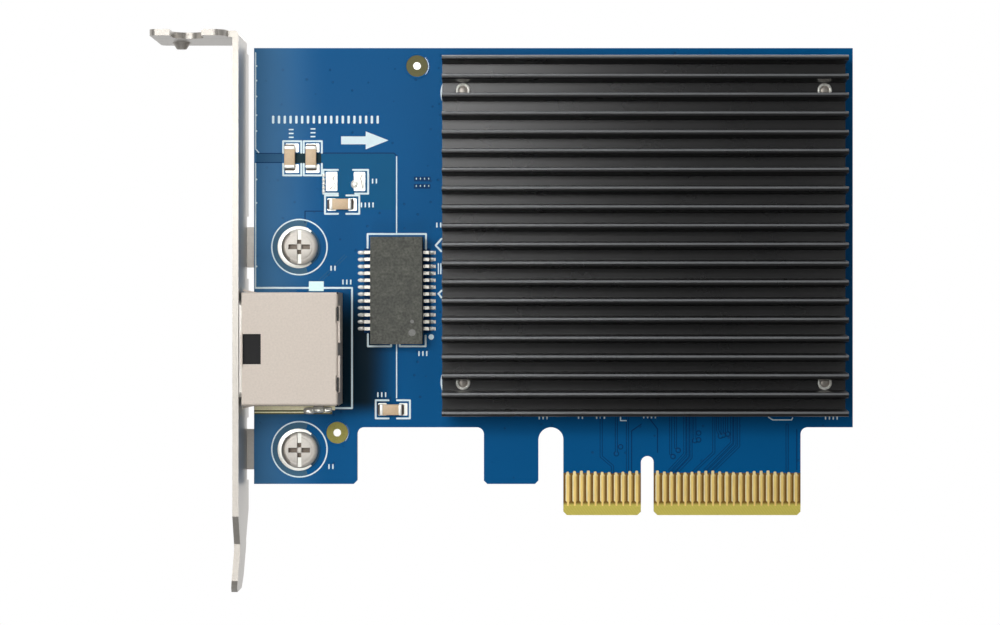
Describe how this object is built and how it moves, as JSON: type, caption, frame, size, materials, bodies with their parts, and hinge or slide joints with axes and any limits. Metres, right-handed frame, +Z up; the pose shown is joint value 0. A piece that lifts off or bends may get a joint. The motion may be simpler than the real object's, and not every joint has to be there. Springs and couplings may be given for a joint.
{
  "type": "network interface card",
  "caption": "Low-profile network card: blue circuit board with edge contacts, folded steel bracket, shielded RJ45 jack and a black finned heatsink.",
  "frame": {"origin": "middle of the key notch on the contact edge, in the middle of the board's thickness", "axes": "+Z up from the contact edge, +X along the board away from the bracket, -Y out of the component side"},
  "size_m": [0.1, 0.0209, 0.0792],
  "materials": {
    "board": "glass-epoxy laminate under a glossy blue solder mask",
    "gold": "gold over nickel",
    "bracket_steel": "zinc-nickel plated sheet steel, satin",
    "screw_steel": "nickel-plated steel",
    "fastener_steel": "nickel-plated steel",
    "tin": "tin plating",
    "solder": "reflowed solder",
    "black_anodised": "extruded aluminium, black anodised",
    "spacer_brass": "hexagonal brass bar",
    "shell_steel": "nickel-plated sheet, satin",
    "black_plastic": "moulded thermoplastic, black",
    "clear_plastic": "translucent polycarbonate",
    "moulding": "moulding compound, dark grey",
    "chip_plastic": "moulding compound, black",
    "ceramic": "tan ceramic with tinned ends",
    "substrate": "organic package substrate",
    "lid_metal": "nickel-plated metal lid",
    "thermal_pad": "filled silicone pad",
    "ferrite": "sintered ferrite"
  },
  "bodies": {
    "root": {"bare_solder_pads": "solder", "bracket": "bracket_steel", "bracket_screw_lower": "screw_steel", "bracket_screw_upper": "screw_steel", "chip_capacitor_1": "ceramic", "chip_capacitor_2": "ceramic", "chip_capacitor_3": "ceramic", "chip_capacitor_4": "ceramic", "controller_lid": "lid_metal", "controller_substrate": "substrate", "crystal": "lid_metal", "edge_contacts_front": "gold", "edge_contacts_rear": "gold", "flash_memory": "chip_plastic", "heatsink": "black_anodised", "heatsink_screws": "fastener_steel", "heatsink_spacers": "spacer_brass", "jack_contacts": "gold", "jack_housing": "black_plastic", "jack_shield": "shell_steel", "jack_tails": "tin", "light_pipe_lower": "clear_plastic", "light_pipe_upper": "clear_plastic", "magnetics_body": "moulding", "magnetics_leads": "tin", "pcb": "board", "power_inductor_1": "ferrite", "power_inductor_2": "ferrite", "rear_capacitors": "ceramic", "regulator": "chip_plastic", "screw_rings": "tin", "thermal_pad": "thermal_pad"}
  },
  "joints": []
}
